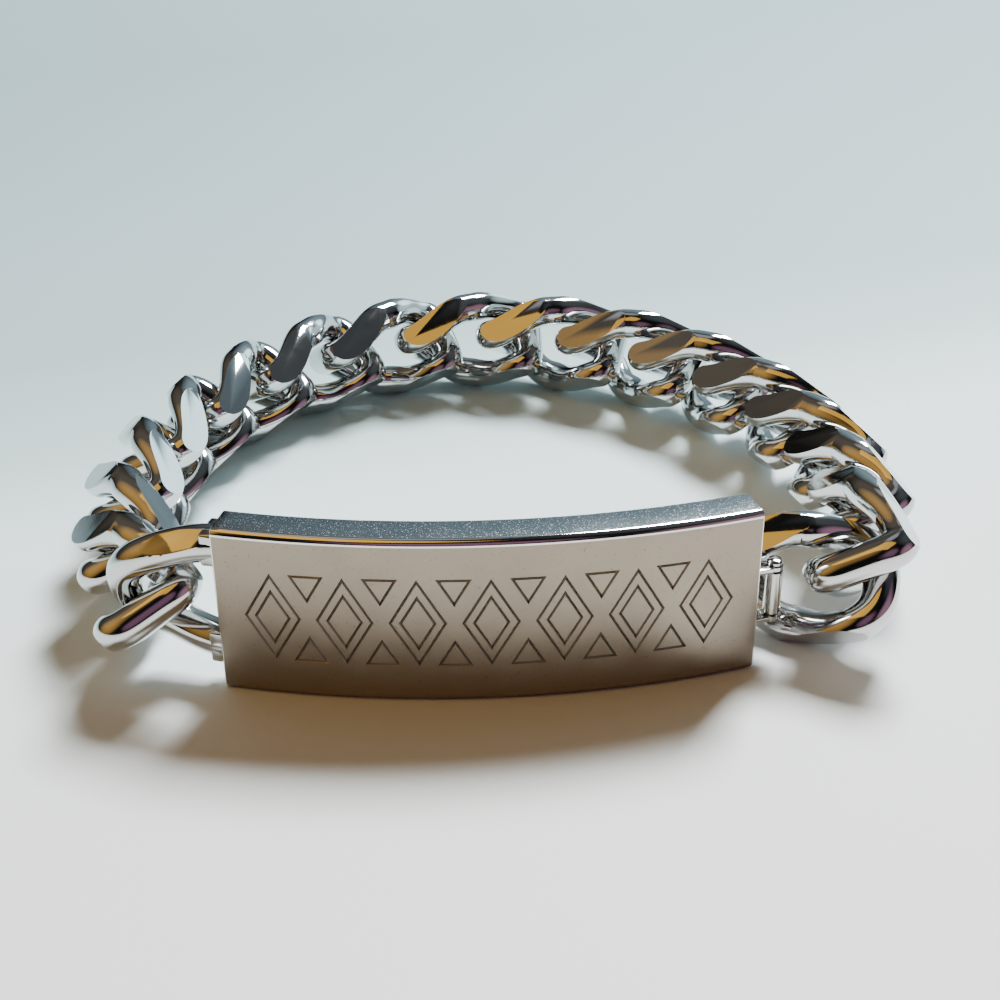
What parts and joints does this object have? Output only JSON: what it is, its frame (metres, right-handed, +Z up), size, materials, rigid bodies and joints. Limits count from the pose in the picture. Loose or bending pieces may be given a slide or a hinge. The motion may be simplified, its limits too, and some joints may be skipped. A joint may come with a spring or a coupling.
{
  "type": "identity bracelet",
  "caption": "Steel identity bracelet: a curved rectangular name plate with an engraved band, a curb chain in a closed loop and a hinged latch at one end.",
  "frame": {"origin": "under the middle of the whole bracelet, at the height of the plate's bottom edge", "axes": "+Z up, along the plate's height and the wrist's axis; -Y out of the front of the plate; +X along the plate toward the latch"},
  "size_m": [0.0762, 0.0666, 0.0155],
  "materials": {
    "plate_steel": "satin front with a fine speckle, polished edges",
    "chain_steel": "polished, bevelled",
    "latch_steel": "polished"
  },
  "bodies": {
    "bracelet": {"id_plate": "plate_steel", "latch_pin": "latch_steel", "end_ring": "chain_steel", "link_00": "chain_steel", "link_01": "chain_steel", "link_02": "chain_steel", "link_03": "chain_steel", "link_04": "chain_steel", "link_05": "chain_steel", "link_06": "chain_steel", "link_07": "chain_steel", "link_08": "chain_steel", "link_09": "chain_steel", "link_10": "chain_steel", "link_11": "chain_steel", "link_12": "chain_steel", "link_13": "chain_steel", "link_14": "chain_steel"},
    "latch": {"latch_tongue": "latch_steel"}
  },
  "joints": [
    {"name": "latch_hinge", "type": "hinge", "parent": "bracelet", "child": "latch", "pos_m": [0.02335, -0.02732, 0.00607], "axis": [0, 0, -1], "range_deg": [0, 45]}
  ]
}
